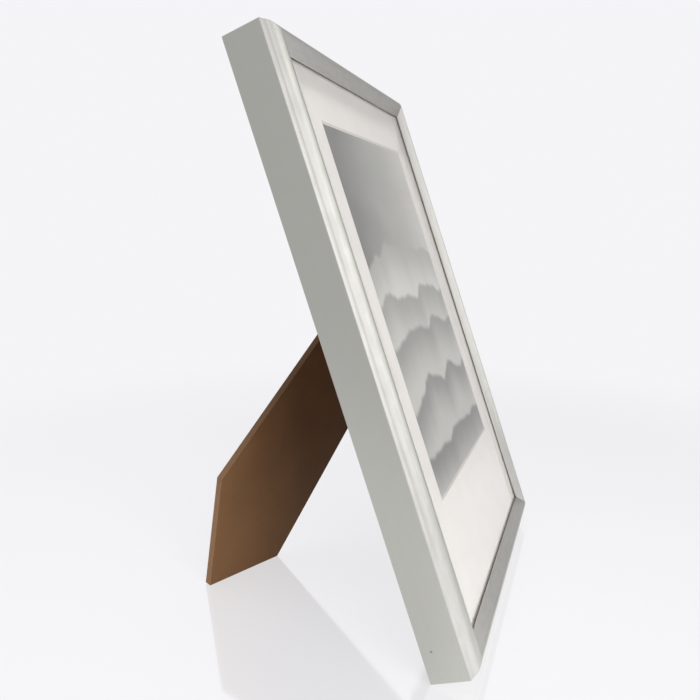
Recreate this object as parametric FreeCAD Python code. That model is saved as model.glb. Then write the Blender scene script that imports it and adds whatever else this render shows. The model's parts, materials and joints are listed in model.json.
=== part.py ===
import FreeCAD, Part
import math
import os

# Easel back photo frame, in millimetres and degrees.
# It is drawn upright first: X runs right as seen from the front, Y runs back from the rails'
# back face, Z runs up from the outer edge of the bottom rail. It is then leaned back on its leg.

# Sheets held in the frame
sheet_width = 200.0
sheet_height = 300.0
sheet_clearance = 1.0
glass_thickness = 2.0
mat_thickness = 1.4
print_thickness = 0.3
card_thickness = 1.0
pad_thickness = 6.0
board_thickness = 3.0

# Borders of the mat round its window, and how far the print runs under them
mat_side_border = 30.0
mat_top_border = 34.0
mat_low_border = 66.0
print_overlap = 5.0

# Moulding section, from the outer side to the sight edge
body_width = 9.0
lip_width = 6.0
lip_thickness = 1.6
side_depth = 20.0
bead_width = 0.5
bead_rise = 0.9
bead_bulge = 0.13
cove_width = 0.8
cove_rise = 1.5
cove_sag = 0.08
flank_bulge = 0.65
crest_inset = 7.0
crest_rise = 6.5
crest_half_width = 1.0
crest_bulge = 0.2
sight_rise = 3.4
sight_round = 0.3

# Corner wafers across each mitre
wafer_inset = 8.5
wafer_wing = 5.0
wafer_thickness = 0.7
wafer_depth = 7.0
wafer_spread = 45.0

# Flexible tabs that hold the back board in
tab_width = 8.0
tab_thickness = 0.5
tab_embed = 5.0
tab_reach = 10.0
tab_wall_gap = 0.3
tab_end_margin = 80.0

# Easel leg and how it stands
leg_thickness = 4.5
leg_half_width = 30.0
leg_flare = 3.3
leg_shoulder_rise = 56.0
leg_top_gap = 2.5
leg_top_half_width = 16.0
leg_top_chamfer = 15.5
leg_opening = 35.4
hinge_side_margin = 28.0
hinge_up = 203.5
folded_tip_side_margin = 5.35
folded_tip_low_margin = 4.5

# Strut hinge
knuckle_radius = 1.5
pin_radius = 0.75
pin_clearance = 0.04
leaf_thickness = 0.7
leaf_half_width = 12.0
leaf_lift = 0.15
board_leaf_length = 14.0
leg_leaf_length = 24.0
middle_knuckle_half = 4.0
knuckle_gap = 0.1
tongue_half_width = 3.0
tongue_length = 6.0
tongue_gap = 0.05

# Rivets of the hinge
rivet_radius = 1.4
rivet_head_radius = 2.6
rivet_head_height = 0.8
rivet_clearance = 0.05
rivet_spread = 7.5
rivet_end_margin = 4.5

# Sawtooth hangers and their nails
hanger_half_length = 22.5
hanger_foot = 6.0
hanger_thickness = 0.8
hanger_bow = 1.4
hanger_slope = 3.5
hanger_height = 7.0
tooth_pitch = 2.0
tooth_depth = 1.2
tooth_pairs = 5
nail_radius = 0.6
nail_head_radius = 1.5
nail_head_height = 0.5
nail_length = 9.0
nail_clearance = 0.05

# How far a cutting tool runs past what it cuts
overrun = 1.0

# Sizes that follow from the ones above
rail_width = body_width + lip_width
frame_width = sheet_width + 2 * (sheet_clearance + body_width)
frame_height = sheet_height + 2 * (sheet_clearance + body_width)
sight_depth = side_depth + sight_rise
crest_depth = side_depth + crest_rise
glass_front = sight_depth - lip_thickness
mat_front = glass_front - glass_thickness
print_front = mat_front - mat_thickness
card_front = print_front - print_thickness
pad_front = card_front - card_thickness
board_front = pad_front - pad_thickness
recess_depth = board_front - board_thickness
sheet_low = body_width + sheet_clearance
window_width = sheet_width - 2 * mat_side_border
window_height = sheet_height - mat_low_border - mat_top_border
window_middle = sheet_low + mat_low_border + window_height / 2
tab_offset = sheet_height / 2 - tab_end_margin
hinge_lift = knuckle_radius + leaf_lift
leg_face = leaf_thickness - knuckle_radius
hinge_back = hinge_lift - recess_depth
hinge_across = sheet_width / 2 - hinge_side_margin
leg_run = hinge_across + sheet_width / 2 - folded_tip_side_margin
leg_drop = hinge_up - sheet_low - folded_tip_low_margin
leg_length = math.hypot(leg_run, leg_drop)
leg_slant = math.degrees(math.atan2(leg_run, leg_drop))
leg_shoulder = leg_length - leg_shoulder_rise

X_AXIS = FreeCAD.Vector(1, 0, 0)
Y_AXIS = FreeCAD.Vector(0, 1, 0)
Z_AXIS = FreeCAD.Vector(0, 0, 1)


def point(x, y, z):
    return FreeCAD.Vector(x, y, z)


def moved(shape, placement):
    copy = shape.copy()
    copy.Placement = placement.multiply(copy.Placement)
    return copy


def polygon_prism(points, direction):
    """Solid swept from a closed outline of points along a direction."""
    wire = Part.makePolygon(points + points[:1])
    return Part.Face(wire).extrude(direction)


def box_between(low, high):
    size = high.sub(low)
    return Part.makeBox(size.x, size.y, size.z, low)


def bulged_arc(start, end, bulge, outward):
    """Arc from start to end whose middle stands off the chord by bulge, along outward."""
    chord = end.sub(start)
    side = outward.sub(chord * (outward.dot(chord) / chord.dot(chord)))
    side.normalize()
    middle = start.add(chord * 0.5).add(side * bulge)
    return Part.Arc(start, middle, end).toShape()


# Rails

def section_point(inset, depth):
    """Point of the moulding section: inset from the outer side, depth forward of the back."""
    return point(0, -depth, inset)


def moulding_section():
    """Face of the moulding: side, bead, cove, domed flank, crest, slope, sight lip, rebate."""
    back_outer = section_point(0, 0)
    arris = section_point(0, side_depth)
    bead_end = section_point(bead_width, side_depth + bead_rise)
    cove_end = section_point(bead_width + cove_width, side_depth + bead_rise + cove_rise)
    crest_start = section_point(crest_inset - crest_half_width, crest_depth - crest_bulge)
    crest_end = section_point(crest_inset + crest_half_width, crest_depth - crest_bulge)
    slope_end = section_point(rail_width - sight_round, sight_depth)
    sight_end = section_point(rail_width, sight_depth - sight_round)
    lip_edge = section_point(rail_width, glass_front)
    rebate_corner = section_point(body_width, glass_front)
    back_inner = section_point(body_width, 0)
    outward = section_point(-1, 1)
    edges = [
        Part.makeLine(back_outer, arris),
        bulged_arc(arris, bead_end, bead_bulge, outward),
        bulged_arc(bead_end, cove_end, cove_sag, outward * -1),
        bulged_arc(cove_end, crest_start, flank_bulge, outward),
        bulged_arc(crest_start, crest_end, crest_bulge, section_point(0, 1)),
        Part.makeLine(crest_end, slope_end),
        bulged_arc(slope_end, sight_end, sight_round * (1 - math.sqrt(0.5)), section_point(1, 1)),
        Part.makeLine(sight_end, lip_edge),
        Part.makeLine(lip_edge, rebate_corner),
        Part.makeLine(rebate_corner, back_inner),
        Part.makeLine(back_inner, back_outer),
    ]
    return Part.Face(Part.Wire(edges))


def mitred_rail(length):
    """Rail lying along X, centred, with its outer side down and both ends cut at 45 degrees."""
    bar = moulding_section().extrude(point(length, 0, 0))
    bar.translate(point(-length / 2, 0, 0))
    outer = length / 2 + overrun
    inner = length / 2 - rail_width - overrun
    high = rail_width + overrun
    plan = [
        point(-outer, overrun, -overrun),
        point(outer, overrun, -overrun),
        point(inner, overrun, high),
        point(-inner, overrun, high),
    ]
    return bar.common(polygon_prism(plan, point(0, -crest_depth - 2 * overrun, 0)))


def side_placement(side):
    """Carries a thing drawn for the bottom rail, centred along X, to the named side."""
    places = {
        "bottom": (0, point(0, 0, 0)),
        "left": (90, point(-frame_width / 2, 0, frame_height / 2)),
        "top": (180, point(0, 0, frame_height)),
        "right": (270, point(frame_width / 2, 0, frame_height / 2)),
    }
    turn, corner = places[side]
    return FreeCAD.Placement(corner, FreeCAD.Rotation(Y_AXIS, turn))


def corner_wafers():
    """One bent steel wafer driven across each mitre from the back."""
    wafers = []
    spread = math.radians(wafer_spread)
    inner_step = wafer_thickness / math.sin(spread)
    for across in (-1, 1):
        for up in (-1, 1):
            corner = point(across * frame_width / 2, 0, (1 + up) * frame_height / 2)
            inward = point(-across, 0, -up).normalize()
            sideways = point(up, 0, -across).normalize()
            tip = corner.add(inward * wafer_inset)
            back = inward * (-wafer_wing * math.cos(spread))
            left = tip.add(back).add(sideways * (wafer_wing * math.sin(spread)))
            right = tip.add(back).sub(sideways * (wafer_wing * math.sin(spread)))
            step = inward * inner_step
            outline = [tip, left, left.add(step), tip.add(step), right.add(step), right]
            wafers.append(polygon_prism(outline, point(0, -wafer_depth, 0)))
    return Part.makeCompound(wafers)


# Flexible tabs

def tab_places():
    """Name, side and place along that side of each tab."""
    return [
        ("tab_top", "top", 0),
        ("tab_bottom", "bottom", 0),
        ("tab_left_upper", "left", -tab_offset),
        ("tab_left_lower", "left", tab_offset),
        ("tab_right_upper", "right", tab_offset),
        ("tab_right_lower", "right", -tab_offset),
    ]


def tab_pivot_inset():
    return body_width + tab_wall_gap


def tab_root(along):
    """Part of a tab that is driven into the rebate wall."""
    low = point(along - tab_width / 2, -recess_depth, body_width - tab_embed)
    high = point(along + tab_width / 2, -recess_depth + tab_thickness, body_width)
    return box_between(low, high)


def tab_tongue(along):
    """Free part of a tab, round where it bends, lying on the back board."""
    start = tab_pivot_inset()
    low = point(along - tab_width / 2, -recess_depth, start)
    high = point(along + tab_width / 2, -recess_depth + tab_thickness, body_width + tab_reach)
    bend_centre = point(along - tab_width / 2, -recess_depth + tab_thickness / 2, start)
    bend = Part.makeCylinder(tab_thickness / 2, tab_width, bend_centre, X_AXIS)
    return box_between(low, high).fuse(bend).removeSplitter()


def tab_axis(side, along):
    """Pivot point and bending direction of a tab; a positive turn lifts it off the board."""
    placement = side_placement(side)
    pivot = point(along, -recess_depth + tab_thickness / 2, tab_pivot_inset())
    return placement.multVec(pivot), placement.Rotation.multVec(X_AXIS * -1)


def tab_roots():
    roots = [moved(tab_root(along), side_placement(side)) for _, side, along in tab_places()]
    return Part.makeCompound(roots)


# Sheets between the lip and the tabs

def sheet(front, thickness):
    low = point(-sheet_width / 2, -front, sheet_low)
    high = point(sheet_width / 2, -front + thickness, sheet_low + sheet_height)
    return box_between(low, high)


def window_outline(depth, widening):
    half = window_width / 2 + widening
    low = window_middle - window_height / 2 - widening
    high = window_middle + window_height / 2 + widening
    corners = [point(-half, -depth, low), point(half, -depth, low),
               point(half, -depth, high), point(-half, -depth, high)]
    return Part.makePolygon(corners + corners[:1])


def mat_board():
    """Mat with a window whose edge is bevelled at 45 degrees, widest at the front."""
    front = window_outline(mat_front + overrun, mat_thickness + overrun)
    back = window_outline(print_front - overrun, -overrun)
    return sheet(mat_front, mat_thickness).cut(Part.makeLoft([front, back], True, True))


def print_sheet():
    half = window_width / 2 + print_overlap
    tall = window_height / 2 + print_overlap
    low = point(-half, -print_front, window_middle - tall)
    high = point(half, -card_front, window_middle + tall)
    return box_between(low, high)


def back_board():
    board = sheet(board_front, board_thickness)
    for hole in hinge_rivets(board_leaf_rivet_places(), board_rivet_span(), rivet_clearance, False):
        board = board.cut(moved(hole, hinge_placement(0)))
    return board


# Hinge and leg, drawn with x along the hinge pin, y down the leg and z back from the board

def hinge_placement(opening):
    """Carries a thing drawn at the hinge to the frame, turned open by an angle."""
    slant = FreeCAD.Rotation(Y_AXIS, leg_slant)
    lay = FreeCAD.Rotation(X_AXIS, -90)
    opened = FreeCAD.Rotation(X_AXIS, opening)
    rotation = slant.multiply(lay).multiply(opened)
    return FreeCAD.Placement(point(hinge_across, hinge_back, hinge_up), rotation)


def leg_half_width_at(down):
    return leg_half_width + down * math.tan(math.radians(leg_flare))


def leg_tip():
    """Lowest corner of the open leg's front face, in frame coordinates."""
    return hinge_placement(leg_opening).multVec(point(0, leg_length, leg_face))


def lean_angle():
    """The frame leans until the leg's tip and the bottom rail's back edge share one level."""
    tip = leg_tip()
    return math.degrees(math.atan2(tip.z, tip.y))


def foot_slope():
    """Rise of the portrait foot per length across, so that the whole foot meets the table."""
    up = point(0, -math.sin(math.radians(lean_angle())), math.cos(math.radians(lean_angle())))
    rotation = hinge_placement(leg_opening).Rotation
    return -up.dot(rotation.multVec(X_AXIS)) / up.dot(rotation.multVec(Y_AXIS))


def easel_leg():
    """Flared board with a narrowed top and two foot cuts that meet at its tip."""
    slope = -foot_slope()
    flare = math.tan(math.radians(leg_flare))
    far_shoulder = (leg_length - slope * leg_half_width) / (1 + slope * flare)
    wide = leg_top_gap + leg_top_chamfer
    outline = [
        point(-leg_top_half_width, leg_top_gap, leg_face),
        point(leg_top_half_width, leg_top_gap, leg_face),
        point(leg_half_width_at(wide), wide, leg_face),
        point(leg_half_width_at(far_shoulder), far_shoulder, leg_face),
        point(0, leg_length, leg_face),
        point(-leg_half_width_at(leg_shoulder), leg_shoulder, leg_face),
        point(-leg_half_width_at(wide), wide, leg_face),
    ]
    leg = polygon_prism(outline, point(0, 0, leg_thickness))
    for hole in hinge_rivets(leg_leaf_rivet_places(), leg_rivet_span(), rivet_clearance, False):
        leg = leg.cut(hole)
    return leg


def knuckle(start, end):
    return Part.makeCylinder(knuckle_radius, end - start, point(start, 0, 0), X_AXIS)


def pin_hole():
    length = 2 * (leaf_half_width + overrun)
    start = point(-length / 2, 0, 0)
    return Part.makeCylinder(pin_radius + pin_clearance, length, start, X_AXIS)


def hinge_pin():
    start = point(-leaf_half_width, 0, 0)
    return Part.makeCylinder(pin_radius, 2 * leaf_half_width, start, X_AXIS)


def board_leaf_rivet_places():
    down = rivet_end_margin - board_leaf_length
    return [(-rivet_spread, down), (rivet_spread, down)]


def leg_leaf_rivet_places():
    down = leg_leaf_length - rivet_end_margin
    return [(-rivet_spread, down), (rivet_spread, down)]


def board_rivet_span():
    """From the front of the back board to the top of the leaf."""
    return -hinge_lift - board_thickness, leaf_thickness - hinge_lift


def leg_rivet_span():
    """From the inner side of the leg leaf to the back of the leg."""
    return -knuckle_radius, leg_face + leg_thickness


def hinge_rivets(places, span, clearance, with_head):
    """Round shanks through a span, each with a low domed head at the back where asked."""
    low, high = span
    rivets = []
    for across, down in places:
        shank = Part.makeCylinder(rivet_radius + clearance, high - low, point(across, down, low))
        if with_head:
            ball = (rivet_head_radius ** 2 + rivet_head_height ** 2) / (2 * rivet_head_height)
            dome = Part.makeSphere(ball, point(across, down, high + rivet_head_height - ball))
            room = point(rivet_head_radius, rivet_head_radius, 0)
            centre = point(across, down, high)
            cap = box_between(centre.sub(room), centre.add(room).add(Z_AXIS * rivet_head_height))
            shank = shank.fuse(dome.common(cap)).removeSplitter()
        rivets.append(shank)
    return rivets


def hinge_board_leaf():
    """Leaf on the back board, with the two outer knuckles and a notch for the middle one."""
    low = point(-leaf_half_width, -board_leaf_length, -hinge_lift)
    high = point(leaf_half_width, 0, leaf_thickness - hinge_lift)
    leaf = box_between(low, high)
    notch_half = middle_knuckle_half + knuckle_gap
    leaf = leaf.fuse([knuckle(-leaf_half_width, -notch_half), knuckle(notch_half, leaf_half_width)])
    notch_low = point(-notch_half, -knuckle_radius - knuckle_gap, -hinge_lift - overrun)
    notch_high = point(notch_half, knuckle_radius + overrun, knuckle_radius + overrun)
    leaf = leaf.cut(box_between(notch_low, notch_high)).cut(pin_hole())
    for hole in hinge_rivets(board_leaf_rivet_places(), board_rivet_span(), rivet_clearance, False):
        leaf = leaf.cut(hole)
    return leaf.removeSplitter()


def hinge_leg_leaf():
    """Leaf on the leg, with the middle knuckle and a tongue that stops the leg when open."""
    opened = FreeCAD.Placement(point(0, 0, 0), FreeCAD.Rotation(X_AXIS, leg_opening))
    shoulder = knuckle_radius + knuckle_gap + pin_clearance
    neck_high = point(middle_knuckle_half, shoulder + overrun, leg_face)
    neck = box_between(point(-middle_knuckle_half, 0, -knuckle_radius), neck_high)
    plate_high = point(leaf_half_width, leg_leaf_length, leg_face)
    plate = box_between(point(-leaf_half_width, shoulder, -knuckle_radius), plate_high)
    for hole in hinge_rivets(leg_leaf_rivet_places(), leg_rivet_span(), rivet_clearance, False):
        plate = plate.cut(hole)
    tongue_low = leaf_thickness - hinge_lift + tongue_gap
    tongue = box_between(point(-tongue_half_width, -tongue_length, tongue_low),
                         point(tongue_half_width, 0, tongue_low + leaf_thickness))
    middle = knuckle(-middle_knuckle_half, middle_knuckle_half)
    leaf = middle.fuse([moved(neck, opened), moved(plate, opened), tongue])
    return leaf.cut(pin_hole()).removeSplitter()


# Sawtooth hangers, drawn on the bottom rail's back face

def sawtooth_hanger():
    """Bowed strip with teeth along its inner edge and a nail hole in each foot."""
    low = (body_width - hanger_height) / 2
    foot_end = hanger_half_length - hanger_foot
    bow_end = foot_end - hanger_slope
    under = [(-hanger_half_length, 0), (-foot_end, 0), (-bow_end, hanger_bow),
             (bow_end, hanger_bow), (foot_end, 0), (hanger_half_length, 0)]
    over = [(x, y + hanger_thickness) for x, y in reversed(under)]
    strip = polygon_prism([point(x, y, low) for x, y in under + over], Z_AXIS * hanger_height)
    edge = low + hanger_height
    for step in range(-tooth_pairs, tooth_pairs + 1):
        middle = step * tooth_pitch
        notch = [point(middle - tooth_pitch / 2, hanger_bow - overrun, edge),
                 point(middle, hanger_bow - overrun, edge - tooth_depth),
                 point(middle + tooth_pitch / 2, hanger_bow - overrun, edge)]
        strip = strip.cut(polygon_prism(notch, Y_AXIS * (hanger_thickness + 2 * overrun)))
    for hole in hanger_nails(nail_clearance, False):
        strip = strip.cut(hole)
    return strip


def hanger_nails(clearance, with_head):
    """Two nails through the feet of a hanger into the rail."""
    nails = []
    for across in (-1, 1):
        place = across * (hanger_half_length - hanger_foot / 2)
        start = point(place, hanger_thickness - nail_length, body_width / 2)
        nail = Part.makeCylinder(nail_radius + clearance, nail_length, start, Y_AXIS)
        if with_head:
            seat = point(place, hanger_thickness, body_width / 2)
            head = Part.makeCylinder(nail_head_radius, nail_head_height, seat, Y_AXIS)
            nail = nail.fuse(head).removeSplitter()
        nails.append(nail)
    return nails


HANGER_SIDES = ["top", "right"]


def rail(side, length):
    """Finished rail with room for its tab roots, wafers and hanger nails."""
    shape = moved(mitred_rail(length), side_placement(side))
    shape = shape.cut(tab_roots()).cut(corner_wafers())
    if side in HANGER_SIDES:
        for hole in hanger_nails(nail_clearance, False):
            shape = shape.cut(moved(hole, side_placement(side)))
    return shape


def upright_pieces():
    """Every piece by name, in upright frame coordinates with the leg open."""
    closed = hinge_placement(0)
    opened = hinge_placement(leg_opening)
    board_rivets = hinge_rivets(board_leaf_rivet_places(), board_rivet_span(), 0, True)
    leg_rivets = hinge_rivets(leg_leaf_rivet_places(), leg_rivet_span(), 0, True)
    nails = [moved(nail, side_placement(side)) for side in HANGER_SIDES
             for nail in hanger_nails(0, True)]
    pieces = {
        "top_rail": rail("top", frame_width),
        "bottom_rail": rail("bottom", frame_width),
        "left_rail": rail("left", frame_height),
        "right_rail": rail("right", frame_height),
        "corner_wafers": corner_wafers(),
        "glazing": sheet(glass_front, glass_thickness),
        "mat_board": mat_board(),
        "print_sheet": print_sheet(),
        "backing_card": sheet(card_front, card_thickness),
        "corrugated_pad": sheet(pad_front, pad_thickness),
        "back_board": back_board(),
        "tab_roots": tab_roots(),
        "hinge_board_leaf": moved(hinge_board_leaf(), closed),
        "hinge_board_rivets": moved(Part.makeCompound(board_rivets), closed),
        "hinge_pin": moved(hinge_pin(), closed),
        "hinge_leg_leaf": moved(hinge_leg_leaf(), closed),
        "hinge_leg_rivets": moved(Part.makeCompound(leg_rivets), opened),
        "easel_leg": moved(easel_leg(), opened),
        "hanger_nails": Part.makeCompound(nails),
    }
    for side in HANGER_SIDES:
        pieces["hanger_" + side] = moved(sawtooth_hanger(), side_placement(side))
    for name, side, along in tab_places():
        pieces[name] = moved(tab_tongue(along), side_placement(side))
    return pieces


def standing_placement(pieces):
    """Leans the upright frame back on its leg and centres its footprint on the origin."""
    lean = FreeCAD.Placement(point(0, 0, 0), FreeCAD.Rotation(X_AXIS, -lean_angle()))
    box = moved(Part.makeCompound(list(pieces.values())), lean).optimalBoundingBox(False, False)
    shift = point(-box.Center.x, -box.Center.y, -box.ZMin)
    return FreeCAD.Placement(shift, FreeCAD.Rotation()).multiply(lean)


def main():
    os.makedirs("parts", exist_ok=True)
    pieces = upright_pieces()
    placement = standing_placement(pieces)
    for name, shape in pieces.items():
        standing = moved(shape, placement)
        standing.exportStep("parts/" + name + ".step")
        print(name, len(standing.Solids), "solids", round(standing.Volume), "mm3")


if __name__ == "__main__":
    main()
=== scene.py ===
import json
import math

import bmesh
import bpy
from mathutils import Matrix, Quaternion, Vector


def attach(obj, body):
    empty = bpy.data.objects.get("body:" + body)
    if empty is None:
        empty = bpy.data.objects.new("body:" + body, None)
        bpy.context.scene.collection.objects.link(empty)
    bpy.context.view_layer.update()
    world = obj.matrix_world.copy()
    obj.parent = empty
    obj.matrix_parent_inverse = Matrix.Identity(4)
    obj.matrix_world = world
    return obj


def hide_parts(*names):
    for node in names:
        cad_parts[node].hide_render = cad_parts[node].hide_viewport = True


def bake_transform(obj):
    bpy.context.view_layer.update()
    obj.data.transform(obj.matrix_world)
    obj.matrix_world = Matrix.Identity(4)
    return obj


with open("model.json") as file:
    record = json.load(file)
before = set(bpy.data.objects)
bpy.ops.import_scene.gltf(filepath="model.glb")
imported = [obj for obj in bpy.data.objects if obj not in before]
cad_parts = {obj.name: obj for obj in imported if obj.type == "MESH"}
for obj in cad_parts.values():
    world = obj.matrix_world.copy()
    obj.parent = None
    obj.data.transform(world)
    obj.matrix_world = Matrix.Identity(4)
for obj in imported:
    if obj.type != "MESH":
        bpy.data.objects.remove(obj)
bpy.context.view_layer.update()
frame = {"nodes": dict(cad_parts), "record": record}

bl_info = {
    "name": "Easel back photo frame",
    "version": (1, 0, 0),
    "blender": (4, 5, 0),
    "location": "3D View > Sidebar > Photo frame",
    "description": "Dresses a leaning photo frame: silver moulding, glass, mat, picture and "
                   "fibreboard easel",
    "category": "Object",
}

MM = 0.001
UV_NAME = "moulding"

# Upright coordinates: X right seen from the front, Y back from the rails' back face, Z up the frame


def upright_matrix():
    """Carries upright frame coordinates to the leaning frame."""
    mounts = {mount["name"]: mount for mount in frame["record"]["mounts"]}
    low, back = mounts["bottom_face"], mounts["back_face_low"]
    up = -Vector(low["axis"])
    rear = Vector(back["axis"])
    origin = Vector(low["pos_m"])
    origin += rear * (Vector(back["pos_m"]) - origin).dot(rear)
    basis = Matrix((rear.cross(up), rear, up)).transposed()
    return Matrix.Translation(origin) @ basis.to_4x4()


UPRIGHT = upright_matrix()
TO_UPRIGHT = UPRIGHT.inverted()


def node_box(node, matrix=TO_UPRIGHT):
    """Lowest and highest corner of a CAD node, in upright or in a matrix's coordinates."""
    places = [matrix @ vertex.co for vertex in frame["nodes"][node].data.vertices]
    return [Vector(pick(place[axis] for place in places) for axis in range(3))
            for pick in (min, max)]


LEFT_LOW, LEFT_HIGH = node_box("left_rail")
FRAME_WIDTH = node_box("right_rail")[1].x - LEFT_LOW.x
FRAME_HEIGHT = node_box("top_rail")[1].z
RAIL_WIDTH = LEFT_HIGH.x - LEFT_LOW.x
GLASS_FRONT = -node_box("glazing")[0].y
MAT_LOW, MAT_HIGH = node_box("mat_board")
PRINT_LOW, PRINT_HIGH = node_box("print_sheet")


# Settings


def length_property(name, description, default):
    """Length that can't be negative, shown to a hundredth of a millimetre."""
    return bpy.props.FloatProperty(name=name, description=description, default=default,
                                   min=0.0, subtype="DISTANCE", unit="LENGTH", precision=5)


def share_property(name, description, default):
    """Share from 0 to 1."""
    return bpy.props.FloatProperty(name=name, description=description, default=default,
                                   min=0.0, max=1.0, subtype="FACTOR")


def colour_property(name, description, default):
    """Linear colour."""
    return bpy.props.FloatVectorProperty(name=name, description=description, default=default,
                                         size=3, min=0.0, max=1.0, subtype="COLOR")


def place_property(name, description, default):
    """Point in the scene."""
    return bpy.props.FloatVectorProperty(name=name, description=description, default=default,
                                         size=3, subtype="XYZ", unit="LENGTH")


class FrameMoulding(bpy.types.PropertyGroup):
    """Section and finish of the four rails."""
    body_width: length_property("Body width", "Width of the rail behind its lip", 9 * MM)
    side_depth: length_property("Side depth", "Depth of the outer side", 20 * MM)
    back_round: length_property("Back edge", "Rounding of the outer back edge", 0.4 * MM)
    bead_width: length_property("Bead width", "Width of the fine bead at the arris", 0.5 * MM)
    bead_rise: length_property("Bead rise", "How far the bead rises to the front", 0.9 * MM)
    bead_bulge: length_property("Bead bulge", "How far the bead stands off its chord", 0.13 * MM)
    cove_width: length_property("Cove width", "Width of the hollow inside the bead", 0.8 * MM)
    cove_rise: length_property("Cove rise", "How far the hollow rises", 1.5 * MM)
    cove_sag: length_property("Cove sag", "Depth of the hollow below its chord", 0.08 * MM)
    flank_bulge: length_property(
        "Dome bulge", "How far the domed flank stands off its chord", 0.65 * MM)
    crest_inset: length_property(
        "Crest inset", "From the outer side to the middle of the crest", 7 * MM)
    crest_rise: length_property("Crest rise", "How far the crest stands before the side", 6.5 * MM)
    crest_half_width: length_property(
        "Crest half width", "Half the width of the round crest", 1 * MM)
    crest_bulge: length_property(
        "Crest bulge", "How far the crest stands off its chord", 0.2 * MM)
    sight_rise: length_property(
        "Sight rise", "How far the sight edge stands before the side", 3.4 * MM)
    sight_round: length_property("Sight edge", "Rounding of the sight edge", 0.3 * MM)
    sight_lap: length_property(
        "Leaf over the sight edge", "How far the leaf runs down behind it", 0.55 * MM)
    mitre_ease: length_property(
        "Mitre ease", "Depth of the fine crease along each mitre", 0.1 * MM)
    mitre_run: length_property("Mitre run", "Width of one side of that crease", 0.3 * MM)
    foil_turn: length_property(
        "Foil turn", "How far the silver leaf wraps onto the back", 1.6 * MM)
    silver: colour_property("Silver", "Colour of the silver leaf", (0.475, 0.48, 0.435))
    # Light silver is also the colour of the painted highlights on the front and the slope of the
    # rails
    silver_light: colour_property(
        "Light silver", "Colour of its lighter streaks", (0.635, 0.62, 0.585))
    wood: colour_property("Softwood", "Colour of the bare wood", (0.62, 0.46, 0.29))
    # The sight wall's dark colour is partly painted shade of the gap behind the lip
    edge: colour_property(
        "Sight wall", "Colour of the dark inner wall of the lip", (0.09, 0.085, 0.078))


class FrameSheets(bpy.types.PropertyGroup):
    """Borders and colours of the mat."""
    window_side: length_property("Side border", "Mat border beside the window", 30 * MM)
    window_top: length_property("Top border", "Mat border above the window", 34 * MM)
    window_low: length_property("Low border", "Mat border below the window", 66 * MM)
    paper: colour_property("Mat", "Colour of the mat's face", (0.775, 0.728, 0.688))
    core: colour_property("Mat core", "Colour of the bevelled core", (0.66, 0.61, 0.57))


class FrameBack(bpy.types.PropertyGroup):
    """Fibreboard and hardware."""
    board: colour_property("Fibreboard", "Colour of the pressed face", (0.195, 0.099, 0.043))
    board_edge: colour_property("Cut edge", "Colour of the cut edges", (0.33, 0.192, 0.106))
    zinc: colour_property("Zinc", "Colour of the plated steel", (0.62, 0.62, 0.61))
    blued: colour_property("Blued steel", "Colour of the spring steel tabs", (0.20, 0.20, 0.22))


class FrameFixings(bpy.types.PropertyGroup):
    """Tabs and wafers."""
    tab_tip: length_property("Tab tip", "Rounding of the tip's corners", 2 * MM)
    tab_cover: length_property("Tab root", "How far the tab runs into the rebate wall", 1 * MM)
    tab_bend: length_property("Tab bend", "Length of tab that bends at the wall", 0.6 * MM)
    tab_set: length_property("Tab set", "How far the tip stands up from the board", 0.35 * MM)
    wafer_proud: length_property(
        "Wafer", "How far a driven wafer stands proud of the wood", 0.06 * MM)


class FrameStage(bpy.types.PropertyGroup):
    """Camera, floor and surround."""
    camera_place: place_property(
        "Camera place", "Where the camera stands", (-410.2 * MM, -126.8 * MM, 213.9 * MM))
    camera_aim: place_property(
        "Camera aim", "Point that the camera looks at", (-8.6 * MM, 18.8 * MM, 143.8 * MM))
    camera_roll: bpy.props.FloatProperty(
        name="Camera roll", description="Turn of the camera about its own axis", subtype="ANGLE",
        default=math.radians(0.458))
    lens: bpy.props.FloatProperty(
        name="Lens", description="Focal length in millimetres", default=35.95, min=1.0)
    shift: bpy.props.FloatVectorProperty(
        name="Shift", description="Camera shift, as shares of the picture", size=2,
        default=(0.0112, -0.0060))
    backdrop: colour_property(
        "Backdrop", "Colour of the backdrop and floor", (0.91, 0.908, 0.93))
    floor_glow: share_property(
        "Floor glow", "How much of the backdrop's white the floor shows by itself", 0.7)
    surround_shine: share_property(
        "Surround, mirrored", "Strength of the surround in reflections", 0.76)
    surround_shine_right: share_property(
        "Surround, mirrored right", "The same at the right", 0.62)
    surround_light: share_property(
        "Surround, light", "Strength of the surround as a light", 0.42)


# Node trees

# Values that a noise texture mostly stays between
NOISE_LOW, NOISE_HIGH = 0.3, 0.7
# Colour sockets of the mix node, whose names other data types share
MIX_FIRST, MIX_SECOND, MIX_RESULT = 6, 7, 2


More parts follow.
